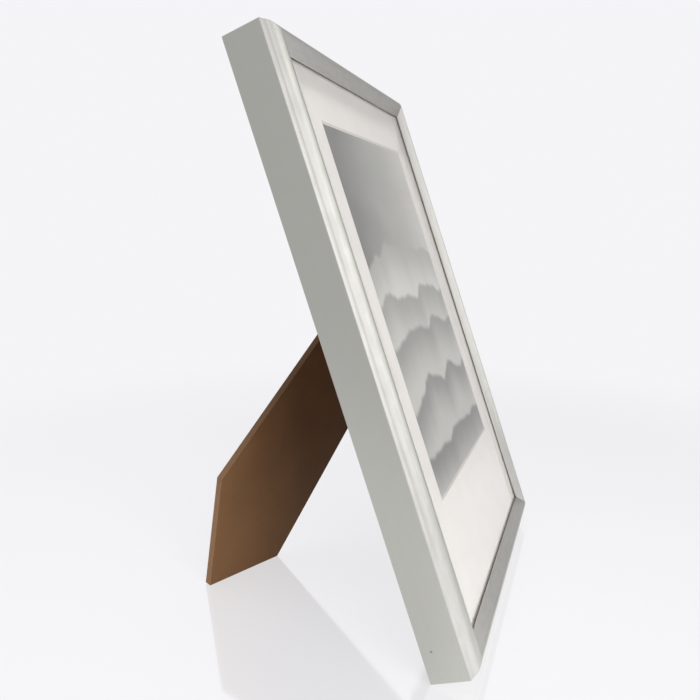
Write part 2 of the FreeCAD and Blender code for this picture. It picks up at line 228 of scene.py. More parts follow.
class Shader:
    """Short calls that build one node tree."""

    def __init__(self, holder):
        """Starts a new material from a name, or takes a world."""
        self.holder = bpy.data.materials.new(holder) if isinstance(holder, str) else holder
        self.holder.use_nodes = True
        self.tree = self.holder.node_tree
        self.tree.nodes.clear()

    def node(self, kind, options=None, **inputs):
        """Adds a node, sets its options, and sets or links each named input."""
        made = self.tree.nodes.new(kind)
        for option, value in (options or {}).items():
            setattr(made, option, value)
        for label, value in inputs.items():
            self.feed(made.inputs[label.replace("_", " ")], value)
        return made

    def ordered(self, kind, options, values):
        """Adds a node, sets its options, and sets or links its first inputs in their order."""
        made = self.node(kind, options)
        for index, value in enumerate(values):
            self.feed(made.inputs[index], value)
        return made

    def feed(self, socket, value):
        """Links a socket to another one, or sets its value."""
        if isinstance(value, bpy.types.NodeSocket):
            self.tree.links.new(value, socket)
        elif socket.type == "RGBA":
            socket.default_value = (*value, 1.0)[:4]
        else:
            socket.default_value = value

    def maths(self, operation, *values, clamp=False):
        """Result of an operation on numbers."""
        options = {"operation": operation, "use_clamp": clamp}
        return self.ordered("ShaderNodeMath", options, values).outputs[0]

    def add(self, first, second):
        return self.maths("ADD", first, second)

    def minus(self, first, second):
        return self.maths("SUBTRACT", first, second)

    def times(self, first, second):
        return self.maths("MULTIPLY", first, second)

    def vector(self, operation, *values):
        """Result of an operation on vectors."""
        made = self.ordered("ShaderNodeVectorMath", {"operation": operation}, values)
        is_number = operation in ("LENGTH", "DISTANCE", "DOT_PRODUCT")
        return made.outputs["Value" if is_number else "Vector"]

    def split(self, vector):
        """The three parts of a vector."""
        return tuple(self.node("ShaderNodeSeparateXYZ", Vector=vector).outputs)

    def join(self, x=0.0, y=0.0, z=0.0):
        """Vector or colour of three parts."""
        return self.node("ShaderNodeCombineXYZ", X=x, Y=y, Z=z).outputs[0]

    def mix(self, share, low, high):
        """Colour between two colours."""
        made = self.node("ShaderNodeMix", {"data_type": "RGBA"})
        self.feed(made.inputs["Factor"], share)
        self.feed(made.inputs[MIX_FIRST], low)
        self.feed(made.inputs[MIX_SECOND], high)
        return made.outputs[MIX_RESULT]

    def shade(self, colour, factor):
        """Colour made lighter or darker by a factor."""
        return self.vector("MULTIPLY", colour, self.join(factor, factor, factor))

    def remap(self, value, low, high, to_low=0.0, to_high=1.0, smooth=False):
        """Carries the stretch from low to high to the one from to_low to to_high."""
        options = {"interpolation_type": "SMOOTHSTEP" if smooth else "LINEAR"}
        return self.ordered("ShaderNodeMapRange", options,
                            (value, low, high, to_low, to_high)).outputs[0]

    def spread(self, noise, low=0.0, high=1.0):
        """Carries a noise to the stretch from low to high."""
        return self.remap(noise, NOISE_LOW, NOISE_HIGH, low, high)

    def stretch(self, place, along, across, deep=1.0):
        """Place for a noise that runs at its own pace each way."""
        return self.vector("MULTIPLY", place, (along, across, deep))

    def noise(self, place, scale=1.0, detail=2.0, roughness=0.5, distortion=0.0):
        """Cloudy value about one half."""
        made = self.node("ShaderNodeTexNoise", Vector=place, Scale=scale, Detail=detail,
                         Roughness=roughness, Distortion=distortion)
        return made.outputs["Fac"]

    def bump(self, height, distance, strength, normal=None):
        """Normal bent by a height, on top of another bend where one is given."""
        made = self.node("ShaderNodeBump", Height=height, Distance=distance, Strength=strength)
        if normal is not None:
            self.feed(made.inputs["Normal"], normal)
        return made.outputs[0]

    def blend(self, share, first, second):
        """Shader node between two others."""
        made = self.node("ShaderNodeMixShader", Fac=share)
        self.tree.links.new(first.outputs[0], made.inputs[1])
        self.tree.links.new(second.outputs[0], made.inputs[2])
        return made

    def upright_place(self):
        """Place on the piece in upright coordinates, in millimetres."""
        place = self.node("ShaderNodeTexCoord").outputs["Object"]
        return self.node("ShaderNodeMapping", Vector=place, Location=TO_UPRIGHT.translation / MM,
                         Rotation=TO_UPRIGHT.to_euler(), Scale=(1 / MM,) * 3).outputs[0]

    def girth_place(self):
        """Place along a rail and round its section, in millimetres."""
        return self.node("ShaderNodeUVMap", {"uv_map": UV_NAME}).outputs[0]

    def surface(self, **inputs):
        """Ends the tree in a principled surface and gives back the material."""
        return self.output(self.node("ShaderNodeBsdfPrincipled", **inputs))

    def output(self, shader):
        """Ends the tree in a shader node and gives back the material."""
        self.node("ShaderNodeOutputMaterial", Surface=shader.outputs[0])
        return self.holder


def scaled(colour, factor):
    """Plain colour made lighter or darker by a factor."""
    return tuple(factor * share for share in colour)


# Bands of the leaf round the section: start and end in millimetres past the arris, and the share
# of light silver, or of mottling, at each; the light silver at the front and on the slope is a
# painted highlight, and the darker crest band is painted shade
MOTTLED_FRONT = (-1.0, 1.0, 0.05, 0.42)
PAINTED_HIGHLIGHT_FRONT = (-0.2, 0.3, 0.3, 0.8)
PAINTED_SHADE_CREST = (5.0, 7.5, 0.0, -0.7)
PAINTED_HIGHLIGHT_SLOPE = (9.0, 12.0, 0.0, 0.75)
LEAF_TINT = (0.86, 0.86, 0.85)
# The pit low on the left side, in millimetres: its upright place, and how far its core and rim go
PIT_Y, PIT_Z = -5.6, 16.4
PIT_CORE, PIT_RIM = 0.45, 0.85
PIT_COLOUR = (0.20, 0.20, 0.185)


def silver_leaf(look):
    """Satin silver leaf with lengthwise streaks, soft clouds and one small pit low on the left,
    with painted highlights on the front and the slope and painted shade along the crest.
    """
    s = Shader("silver leaf")
    girth = s.girth_place()
    streak = s.noise(s.stretch(girth, along=0.03, across=0.9), detail=3.0)
    cloud = s.noise(s.stretch(girth, along=0.09, across=0.3), detail=3.0)
    grain = s.noise(s.stretch(girth, along=1.2, across=4.0))
    _, round_section, _ = s.split(girth)
    arris = look.foil_turn / MM + look.side_depth / MM

    def band(start, end, share_before, share_after):
        return s.remap(round_section, arris + start, arris + end, share_before, share_after)

    # Painted highlight bands at the front and on the slope, and a painted shade band at the crest
    share = s.add(s.add(band(*PAINTED_HIGHLIGHT_FRONT), band(*PAINTED_SHADE_CREST)), band(*PAINTED_HIGHLIGHT_SLOPE))
    mottle = s.remap(s.add(s.times(streak, 0.6), cloud), 0.6, 1.0, -0.5, 0.5)
    light = s.maths("ADD", s.times(mottle, band(*MOTTLED_FRONT)), share, clamp=True)
    place = s.upright_place()
    away = s.vector("DISTANCE", place, (-FRAME_WIDTH / 2 / MM, PIT_Y, PIT_Z))
    ragged = s.add(away, s.times(s.noise(place, scale=2.5), 0.35))
    pit = s.remap(ragged, PIT_CORE, PIT_RIM, 1.0, 0.0)
    colour = s.mix(pit, s.mix(light, look.silver, look.silver_light), PIT_COLOUR)
    rough = s.add(s.remap(light, 0.0, 1.0, 0.38, 0.32), s.spread(grain, -0.02, 0.02))
    brushed = s.bump(streak, distance=0.03 * MM, strength=0.3)
    return s.surface(Base_Color=colour, Metallic=1.0, Roughness=rough, Specular_Tint=LEAF_TINT,
                     Normal=s.bump(grain, distance=0.004 * MM, strength=0.2, normal=brushed))


def bare_wood(look):
    """Softwood with its grain along the rail."""
    s = Shader("bare softwood")
    girth = s.girth_place()
    grain = s.noise(s.stretch(girth, along=0.02, across=1.6), detail=5.0, roughness=0.65,
                    distortion=0.3)
    pores = s.noise(s.stretch(girth, along=0.25, across=7.0))
    dark = s.remap(s.add(grain, s.times(pores, 0.4)), 0.5, 0.95)
    return s.surface(Base_Color=s.mix(dark, look.wood, scaled(look.wood, 0.62)), Roughness=0.72,
                     Normal=s.bump(pores, distance=0.05 * MM, strength=0.5))


def sight_wall(look):
    """Dark wall between the sight edge and the glass, dark partly by its own finish and partly as
    painted shade of the gap behind the lip.
    """
    s = Shader("dark lip wall with painted gap shade")
    blotch = s.noise(s.stretch(s.girth_place(), along=0.3, across=3.0), detail=3.0)
    return s.surface(Base_Color=s.mix(blotch, look.edge, scaled(look.edge, 1.5)), Roughness=0.65)


WHITE = (1.0, 1.0, 1.0)
GLASS_COLOUR = (0.97, 0.985, 0.98)
GLASS_SHADOW = (0.93, 0.945, 0.94)


def clear_glass():
    """Float glass that lets lamps through."""
    s = Shader("clear glass")
    glass = s.node("ShaderNodeBsdfPrincipled", Base_Color=GLASS_COLOUR, Roughness=0.0, IOR=1.5,
                   Transmission_Weight=1.0)
    clear = s.node("ShaderNodeBsdfTransparent", Color=GLASS_SHADOW)
    path = s.node("ShaderNodeLightPath").outputs
    lighting = s.maths("MAXIMUM", path["Is Shadow Ray"], path["Is Diffuse Ray"])
    return s.output(s.blend(lighting, glass, clear))


def still_air():
    """Far side of the pane, which lets everything through, so that its edges leave no ghosts."""
    s = Shader("inner side of the glass")
    return s.output(s.node("ShaderNodeBsdfTransparent", Color=WHITE))


def mat_paper(look):
    """Uncoated mat face with a fine tooth."""
    s = Shader("mat paper")
    place = s.upright_place()
    tooth = s.noise(place, scale=3.2, detail=3.0, roughness=0.65)
    cloud = s.noise(place, scale=0.06)
    return s.surface(Base_Color=s.shade(s.join(*look.paper), s.spread(cloud, 0.985, 1.015)),
                     Roughness=0.92, Normal=s.bump(tooth, distance=0.04 * MM, strength=0.5))


def mat_core(look):
    """Fibrous core that shows in the bevel of the window."""
    s = Shader("mat core")
    fibre = s.noise(s.upright_place(), scale=5.0, detail=3.0)
    return s.surface(Base_Color=s.mix(fibre, look.core, scaled(look.core, 0.94)), Roughness=0.95,
                     Normal=s.bump(fibre, distance=0.05 * MM, strength=0.6))


# Ridges from the farthest one down: height and swing as shares of the print's height, how fast
# the line runs along, and its shade
RIDGES = ((0.66, 0.10, 0.020, 0.36), (0.54, 0.09, 0.024, 0.30), (0.42, 0.11, 0.018, 0.25),
          (0.28, 0.09, 0.026, 0.20), (0.13, 0.08, 0.020, 0.16))
RIDGE_SPACING = 7.3
MIST_DEPTH, MIST_LIGHT = 0.15, 0.28
# Green and blue of the print's greys, as shares of their red
PRINT_GREEN, PRINT_BLUE = 0.96, 0.89


def misty_print():
    """Grey landscape of soft ridges in mist."""
    s = Shader("misty ridges print")
    x, _, z = s.split(s.upright_place())
    middle = (PRINT_LOW.z + PRINT_HIGH.z) / 2 / MM
    tall = (PRINT_HIGH.z - PRINT_LOW.z) / MM
    up = s.maths("DIVIDE", s.minus(z, middle - tall / 2), tall)
    haze = s.noise(s.join(s.times(x, 0.012), 0.0, s.times(z, 0.03)), detail=3.0)
    slope = s.add(s.times(x, 0.004), s.times(haze, 0.25))
    tone = s.remap(s.minus(slope, s.times(up, 0.15)), -0.25, 0.3, 0.16, 0.54)
    for order, (height, swing, pace, shade) in enumerate(RIDGES, start=1):
        line = s.noise(s.join(s.times(x, pace), RIDGE_SPACING * order), detail=3.5,
                       roughness=0.45)
        below = s.minus(s.add(height - swing, s.times(line, 2 * swing)), up)
        inside = s.remap(below, -0.004, 0.014, smooth=True)
        mist = s.remap(below, 0.0, MIST_DEPTH, shade, 0.9 * shade + MIST_LIGHT, smooth=True)
        tone = s.add(s.times(tone, s.minus(1.0, inside)), s.times(mist, inside))
    speckle = s.noise(s.upright_place(), scale=6.0, detail=1.0)
    tone = s.add(tone, s.spread(speckle, -0.012, 0.012))
    colour = s.join(tone, s.times(tone, PRINT_GREEN), s.times(tone, PRINT_BLUE))
    return s.surface(Base_Color=colour, Roughness=0.45)


# Heights in millimetres between which a cut edge goes from painted light to painted shade, and how
# light it is at each
EDGE_PAINTED_LIGHT_LOW, EDGE_PAINTED_SHADE_HIGH = 95.0, 150.0
EDGE_PAINTED_LIGHT_FACTOR, EDGE_PAINTED_SHADE_FACTOR = 1.2, 0.6


def fibreboard(look, name, flat):
    """Dense board with smooth faces, square to the direction flat, and paler fuzzy cut edges, with
    painted light low down and painted shade higher up.
    """
    s = Shader(name)
    place = s.upright_place()
    fleck = s.noise(place, scale=1.1, detail=5.0, roughness=0.7)
    cloud = s.noise(place, scale=0.03, detail=3.0)
    fibre = s.noise(place, scale=3.0, detail=4.0, roughness=0.7)
    normal = s.node("ShaderNodeTexCoord").outputs["Normal"]
    squareness = s.maths("ABSOLUTE", s.vector("DOT_PRODUCT", normal, flat))
    cut = s.remap(squareness, 0.5, 0.9, 1.0, 0.0)
    face = s.shade(s.join(*look.board), s.remap(s.add(fleck, cloud), 0.75, 1.25, 0.9, 1.1))
    edge = s.shade(s.join(*look.board_edge), s.spread(fibre, 0.8, 1.15))
    # Painted light low on the cut edges and painted shade higher up, where the frame shades the leg
    edge = s.shade(edge, s.remap(s.split(place)[2], EDGE_PAINTED_LIGHT_LOW, EDGE_PAINTED_SHADE_HIGH, EDGE_PAINTED_LIGHT_FACTOR,
                                 EDGE_PAINTED_SHADE_FACTOR))
    height = s.add(s.times(fleck, 0.4), s.times(s.times(fibre, cut), 1.5))
    return s.surface(Base_Color=s.mix(cut, face, edge), Specular_IOR_Level=0.2,
                     Roughness=s.remap(cut, 0.0, 1.0, 0.55, 0.9),
                     Normal=s.bump(height, distance=0.08 * MM, strength=0.5))


def flat_direction(node):
    """Direction that a sheet's broad faces look in."""
    return tuple(max(frame["nodes"][node].data.polygons, key=lambda face: face.area).normal)


def plain_card(name, colour):
    """Card with faint fibres."""
    s = Shader(name)
    fibre = s.noise(s.upright_place(), scale=2.0, detail=4.0)
    return s.surface(Base_Color=s.mix(fibre, colour, scaled(colour, 0.8)), Roughness=0.9,
                     Normal=s.bump(fibre, distance=0.05 * MM, strength=0.5))


ROUGHNESS_SWING = 0.08


def worn_metal(name, colour, roughness):
    """Rolled and plated steel with fine scuffs."""
    s = Shader(name)
    place = s.upright_place()
    cloud = s.noise(place, scale=0.5, detail=4.0, roughness=0.6)
    scuff = s.noise(s.stretch(place, along=0.6, across=6.0, deep=6.0), detail=3.0)
    rough = s.remap(s.add(cloud, scuff), 0.7, 1.3, roughness - ROUGHNESS_SWING,
                    roughness + ROUGHNESS_SWING)
    return s.surface(Base_Color=s.mix(s.spread(cloud), colour, scaled(colour, 0.8)), Metallic=1.0,
                     Roughness=rough, Normal=s.bump(scuff, distance=0.01 * MM, strength=0.4))


# Meshes


def linked_object(name, data):
    """New object in the scene."""
    made = bpy.data.objects.new(name, data)
    bpy.context.scene.collection.objects.link(made)
    return made


def finished_object(name, builder, materials, matrix, smooth_angle=30.0):
    """Object in the leaning frame from a bmesh drawn elsewhere, smooth but for its sharp edges."""
    builder.transform(UPRIGHT @ matrix)
    bmesh.ops.recalc_face_normals(builder, faces=builder.faces)
    mesh = bpy.data.meshes.new(name)
    builder.to_mesh(mesh)
    builder.free()
    mesh.shade_smooth()
    mesh.set_sharp_from_angle(angle=math.radians(smooth_angle))
    for material in materials:
        mesh.materials.append(material)
    return linked_object(name, mesh)


def wrap(builder, rings):
    """Joins each closed ring of points to the next one, and gives back the faces in order."""
    faces = []
    for first, second in zip(rings, rings[1:]):
        for index in range(len(first)):
            after = (index + 1) % len(first)
            corners = (first[index], first[after], second[after], second[index])
            faces.append(builder.faces.new(corners))
    return faces


def arc_points(start, end, bulge, outward, count):
    """Points of an arc after its start, whose middle stands off the chord to the outward side."""
    chord = end - start
    side = Vector((-chord.y, chord.x)).normalized()
    if side.dot(outward) < 0:
        side.negate()
    half = chord.length / 2
    reach = 2 * math.atan2(bulge, half)
    radius = half / math.sin(reach)
    middle = (start + end) / 2
    points = []
    for step in range(1, count + 1):
        turn = reach * (2 * step / count - 1)
        along = radius * math.sin(turn)
        off = radius * (math.cos(turn) - math.cos(reach))
        points.append(middle + chord.normalized() * along + side * off)
    return points


# Finishes of a rail, in the order of its materials
LEAF, DARK_WALL, WOOD = range(3)
EDGE_STEPS, BEAD_STEPS, COVE_STEPS, FLANK_STEPS, CREST_STEPS = 4, 10, 8, 14, 8
# How far a quarter of a circle of radius 1 stands off its chord
QUARTER_BULGE = 1 - math.sqrt(0.5)
RAIL_SMOOTH_ANGLE = 25.0


def moulding_section(look):
    """Closed outline of the rail, as inset from the outer side and depth to the front, with the
    finish of the stretch that ends at each point."""
    arris = Vector((0, look.side_depth))
    bead_end = arris + Vector((look.bead_width, look.bead_rise))
    cove_end = bead_end + Vector((look.cove_width, look.cove_rise))
    crest_depth = look.side_depth + look.crest_rise - look.crest_bulge
    crest_start = Vector((look.crest_inset - look.crest_half_width, crest_depth))
    crest_end = Vector((look.crest_inset + look.crest_half_width, crest_depth))
    sight_depth = look.side_depth + look.sight_rise
    slope_end = Vector((RAIL_WIDTH - look.sight_round, sight_depth))
    sight_end = Vector((RAIL_WIDTH, sight_depth - look.sight_round))
    back_start, back_end = Vector((look.back_round, 0)), Vector((0, look.back_round))
    rearward, outward = Vector((-1, -1)), Vector((-1, 1))
    forward, inward = Vector((0, 1)), Vector((1, 1))
    section = []

    def add(points, finish):
        section.extend((point, finish) for point in points)

    add([Vector((look.foil_turn, 0))], WOOD)
    add([back_start], LEAF)
    add(arc_points(back_start, back_end, look.back_round * QUARTER_BULGE, rearward, EDGE_STEPS),
        LEAF)
    add([arris], LEAF)
    add(arc_points(arris, bead_end, look.bead_bulge, outward, BEAD_STEPS), LEAF)
    add(arc_points(bead_end, cove_end, look.cove_sag, -outward, COVE_STEPS), LEAF)
    add(arc_points(cove_end, crest_start, look.flank_bulge, outward, FLANK_STEPS), LEAF)
    add(arc_points(crest_start, crest_end, look.crest_bulge, forward, CREST_STEPS), LEAF)
    add([slope_end], LEAF)
    add(arc_points(slope_end, sight_end, look.sight_round * QUARTER_BULGE, inward, EDGE_STEPS),
        LEAF)
    add([sight_end - Vector((0, look.sight_lap))], LEAF)
    # Dark lip wall, whose colour is partly painted shade of the gap
    add([Vector((RAIL_WIDTH, GLASS_FRONT))], DARK_WALL)
    add([Vector((look.body_width, GLASS_FRONT)), Vector((look.body_width, 0))], WOOD)
    return section


def drawn_in(points, distance):
    """Closed outline moved inwards by a distance."""
    inner = []
    count = len(points)
    for index, point in enumerate(points):
        before = (point - points[index - 1]).normalized()
        after = (points[(index + 1) % count] - point).normalized()
        normals = [Vector((edge.y, -edge.x)) for edge in (before, after)]
        middle = (normals[0] + normals[1]).normalized()
        inner.append(point + middle * distance)
    return inner


def side_matrix(side):
    """Carries a thing drawn for the bottom rail, centred along X, to the named side."""
    half_wide, half_high = FRAME_WIDTH / 2, FRAME_HEIGHT / 2
    turns = {"bottom": (0, (0, 0, 0)), "left": (90, (-half_wide, 0, half_high)),
             "top": (180, (0, 0, FRAME_HEIGHT)), "right": (270, (half_wide, 0, half_high))}
    angle, corner = turns[side]
    return Matrix.Translation(corner) @ Matrix.Rotation(math.radians(angle), 4, "Y")


def rail_mesh(section, length, look):
    """Rail along X with mitred ends, each eased into a fine crease, and its girth as a UV map."""
    points = [point for point, _ in section]
    count = len(points)
    eased = drawn_in(points, look.mitre_ease)
    girth = [0.0]
    for index, point in enumerate(points):
        girth.append(girth[-1] + (points[(index + 1) % count] - point).length)
    builder = bmesh.new()
    layer = builder.loops.layers.uv.new(UV_NAME)
    rings = []
    for end, back_off, outline in ((-1, 0.0, eased), (-1, look.mitre_run, points),
                                   (1, look.mitre_run, points), (1, 0.0, eased)):
        ring = []
        for point in outline:
            along = end * (length / 2 - point.x - back_off)
            ring.append(builder.verts.new((along, -point.y, point.x)))
        rings.append(ring)
    for order, face in enumerate(wrap(builder, rings)):
        index = order % count
        face.material_index = section[(index + 1) % count][1]
        for loop, step in zip(face.loops, (index, index + 1, index + 1, index)):
            loop[layer].uv = (loop.vert.co.x / MM, girth[step] / MM)
    for ring in (rings[0], rings[-1]):
        face = builder.faces.new(ring)
        face.material_index = WOOD
        for loop in face.loops:
            loop[layer].uv = (loop.vert.co.z / MM, loop.vert.co.y / MM)
    return builder


# Finishes of the mat, in the order of its materials
PAPER, CORE = range(2)


def mat_mesh(sheets):
    """Mat board with a bevelled window."""
    front, back = MAT_LOW.y, MAT_HIGH.y
    thick = back - front
    window_low = (MAT_LOW.x + sheets.window_side, MAT_LOW.z + sheets.window_low)
    window_high = (MAT_HIGH.x - sheets.window_side, MAT_HIGH.z - sheets.window_top)
    outer = ((MAT_LOW.x, MAT_LOW.z), (MAT_HIGH.x, MAT_HIGH.z))
    wide = ([each - thick for each in window_low], [each + thick for each in window_high])
    builder = bmesh.new()

    def ring(low, high, y):
        return [builder.verts.new((x, y, z)) for x, z in
                ((low[0], low[1]), (high[0], low[1]), (high[0], high[1]), (low[0], high[1]))]

    outer_front, outer_back = ring(*outer, front), ring(*outer, back)
    wide_front, window_back = ring(*wide, front), ring(window_low, window_high, back)
    rings = (outer_front, wide_front, window_back, outer_back, outer_front)
    for order, face in enumerate(wrap(builder, rings)):
        face.material_index = (PAPER, CORE, PAPER, CORE)[order // len(outer_front)]
    return builder


TAB_SIDES = {"tab_top": "top", "tab_bottom": "bottom",
             "tab_left_upper": "left", "tab_left_lower": "left",
             "tab_right_upper": "right", "tab_right_lower": "right"}
BEND_STEPS, STRAIGHT_STEPS = 6, 4
TIP_ANGLES = range(15, 91, 15)


def side_box(node, side):
    """Lowest and highest corner of a node as drawn for the bottom rail."""
    return node_box(node, (UPRIGHT @ side_matrix(side)).inverted())


def tab_mesh(node, wall, look):
    """Spring steel strip from inside the rebate wall to its rounded tip, drawn for the bottom
    rail."""
    low, high = side_box(node, TAB_SIDES[node])
    middle, half = (low.x + high.x) / 2, (high.x - low.x) / 2
    bent = wall + look.tab_bend
    straight = high.z - look.tab_tip
    rows = [(wall - look.tab_cover, half)]
    rows += [(wall + look.tab_bend * step / BEND_STEPS, half) for step in range(BEND_STEPS + 1)]
    rows += [(bent + (straight - wall - look.tab_bend) * step / STRAIGHT_STEPS, half)
             for step in range(1, STRAIGHT_STEPS + 1)]
    rows += [(straight + look.tab_tip * math.sin(math.radians(turn)),
              half - look.tab_tip * (1 - math.cos(math.radians(turn)))) for turn in TIP_ANGLES]
    builder = bmesh.new()
    rings = []
    for place, wide in rows:
        lift = look.tab_set * max(0.0, (place - wall) / (high.z - wall)) ** 2
        corners = ((-wide, low.y), (wide, low.y), (wide, high.y), (-wide, high.y))
        rings.append([builder.verts.new((middle + across, y + lift, place))
                      for across, y in corners])
    wrap(builder, rings)
    builder.faces.new(rings[0])
    builder.faces.new(rings[-1])
    return builder


MERGE_DISTANCE = 0.001 * MM


def wafer_mesh(look):
    """The four wafers, each standing a little proud of the wood."""
    builder = bmesh.new()
    builder.from_mesh(frame["nodes"]["corner_wafers"].data)
    builder.transform(TO_UPRIGHT)
    back = max(vertex.co.y for vertex in builder.verts)
    for vertex in builder.verts:
        if vertex.co.y > back - look.wafer_proud:
            vertex.co.y = back + look.wafer_proud
    bmesh.ops.remove_doubles(builder, verts=builder.verts, dist=MERGE_DISTANCE)
    return builder


def dress(nodes, material):
    """Gives CAD nodes a material."""
    for name in nodes:
        mesh = frame["nodes"][name].data
        mesh.materials.clear()
        mesh.materials.append(material)


BOARD_EASE, HARDWARE_EASE = 0.25 * MM, 0.12 * MM
EASE_SEGMENTS = 2
EASE_ANGLE = math.radians(35)


def soften(nodes, width):
    """Rounds the sharp edges of CAD nodes a little."""
    for name in nodes:
        bevel = frame["nodes"][name].modifiers.new("soft edges", "BEVEL")
        bevel.width = width
        bevel.segments = EASE_SEGMENTS
        bevel.limit_method = "ANGLE"
        bevel.angle_limit = EASE_ANGLE


def matching(start):
    """Names of the CAD nodes that begin alike."""
    return [name for name in frame["nodes"] if name.startswith(start)]


# Steps

ROLLED_STEEL = (0.55, 0.55, 0.56)
GREY_CARD = (0.5, 0.48, 0.45)
KRAFT_BOARD = (0.5, 0.36, 0.22)
ROLLED_ROUGHNESS, ZINC_ROUGHNESS, BLUED_ROUGHNESS = 0.35, 0.34, 0.4
# How squarely a face of the pane looks to the front, as a cosine, to be its front
PANE_FRONT = 0.9


class PhotoFrameRails(bpy.types.Operator):
    """Builds the four mitred rails of silver moulding"""
    bl_idname = "photo_frame.rails"
    bl_label = "Rails"

    def execute(self, context):
        look = context.scene.photo_frame_moulding
        finishes = [silver_leaf(look), sight_wall(look), bare_wood(look)]
        section = moulding_section(look)
        for side in ("top", "bottom", "left", "right"):
            length = FRAME_WIDTH if side in ("top", "bottom") else FRAME_HEIGHT
            made = finished_object(side + "_moulding", rail_mesh(section, length, look), finishes,
                                   side_matrix(side), RAIL_SMOOTH_ANGLE)
            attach(made, "frame")
            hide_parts(side + "_rail")
        return {"FINISHED"}


class PhotoFrameWafers(bpy.types.Operator):
    """Finishes the steel wafers across the mitres"""
    bl_idname = "photo_frame.wafers"
    bl_label = "Corner wafers"

    def execute(self, context):
        steel = worn_metal("rolled steel", ROLLED_STEEL, ROLLED_ROUGHNESS)
        made = finished_object("driven_wafers", wafer_mesh(context.scene.photo_frame_fixings),
                               [steel], Matrix.Identity(4))
        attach(made, "frame")
        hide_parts("corner_wafers")
        return {"FINISHED"}


class PhotoFrameSheets(bpy.types.Operator):
    """Builds the mat and finishes the glass, the picture and the sheets behind them"""
    bl_idname = "photo_frame.sheets"
    bl_label = "Glass, mat and picture"

    def execute(self, context):
        sheets = context.scene.photo_frame_sheets
        mat = finished_object("bevelled_mat", mat_mesh(sheets),
                              [mat_paper(sheets), mat_core(sheets)], Matrix.Identity(4))
        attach(mat, "frame")
        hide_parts("mat_board")
        dress(["glazing"], clear_glass())
        pane = frame["nodes"]["glazing"].data
        pane.materials.append(still_air())
        rear = UPRIGHT.to_3x3() @ Vector((0, 1, 0))
        for face in pane.polygons:
            face.material_index = 0 if face.normal.dot(rear) < -PANE_FRONT else 1
        dress(["print_sheet"], misty_print())
        dress(["backing_card"], plain_card("grey card", GREY_CARD))
        dress(["corrugated_pad"], plain_card("kraft board", KRAFT_BOARD))
        return {"FINISHED"}


class PhotoFrameBoards(bpy.types.Operator):
    """Finishes the back board and the easel leg"""
    bl_idname = "photo_frame.boards"
    bl_label = "Back board and easel leg"

    def execute(self, context):
        look = context.scene.photo_frame_back
        for name in ("back_board", "easel_leg"):
            title = "fibreboard, " + name.replace("_", " ")
            dress([name], fibreboard(look, title, flat_direction(name)))
            soften([name], BOARD_EASE)
        return {"FINISHED"}


class PhotoFrameHardware(bpy.types.Operator):
    """Finishes the hinge, the hangers, their nails and the tabs"""
    bl_idname = "photo_frame.hardware"
    bl_label = "Hinge, hangers and tabs"

    def execute(self, context):
        look = context.scene.photo_frame_back
        zinc = worn_metal("zinc plate", look.zinc, ZINC_ROUGHNESS)
        dress(matching("hinge") + matching("hanger"), zinc)
        soften(["hinge_board_leaf", "hinge_leg_leaf", "hanger_top", "hanger_right"],
               HARDWARE_EASE)
        blued = worn_metal("blued steel", look.blued, BLUED_ROUGHNESS)
        dress(["tab_roots"], blued)
        fixings = context.scene.photo_frame_fixings
        wall = context.scene.photo_frame_moulding.body_width
        for node, side in TAB_SIDES.items():
            made = finished_object(node.replace("tab", "strip"), tab_mesh(node, wall, fixings),
                                   [blued], side_matrix(side))
            low, high = side_box(node, side)
            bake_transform(made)
            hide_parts(node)
        return {"FINISHED"}


# Stage, in metres and watts

FLOOR_RADIUS, FLOOR_SEGMENTS = 12.0, 96
FLOOR_IOR = 2.7
# From the middle, where the floor fades into the backdrop
FADE_START, FADE_END = 0.28, 0.75
FLOOR_STRENGTH = 1.27
# Where the floor glows more in reflections, ahead and across, and how much at its right and left
AHEAD_START, AHEAD_END = -0.05, -0.15
ACROSS_RIGHT, ACROSS_LEFT = 0.1, -0.1
GLOW_RIGHT, GLOW_LEFT = 0.05, 1.15
# Direction that the surround gets dimmer in, and the cosines between which it does
DIM_DIRECTION = (0.95, -0.31, 0.0)
DIM_START, DIM_END = 0.6, 0.95
# Lamps: name, place, width, height, power and whether it is only mirrored
LAMPS = (("left lamp", (-1.00, -1.15, 0.60), 1.0, 1.1, 13.6, False),
         ("low lamp", (-0.40, -0.80, 0.10), 0.5, 0.2, 2.6, False),
         ("top lamp", (0.1, 0.1, 1.7), 1.2, 1.2, 4.2, False),
         ("left softbox", (-1.05, -1.11, 0.52), 1.6, 1.45, 5.7, True),
         ("front softbox", (0.12, -1.05, 0.63), 0.9, 1.2, 3.65, True))
LAMP_AIM = (0.0, 0.0, 0.12)
SENSOR_WIDTH = 36.0
CLIP_START, CLIP_END = 0.01, 50.0


def mirrored_strength(s, stage, gaze):
    """How bright the surround is in reflections, dimmer towards the right."""
    return s.remap(s.vector("DOT_PRODUCT", gaze, DIM_DIRECTION), DIM_START, DIM_END,
                   stage.surround_shine, stage.surround_shine_right)


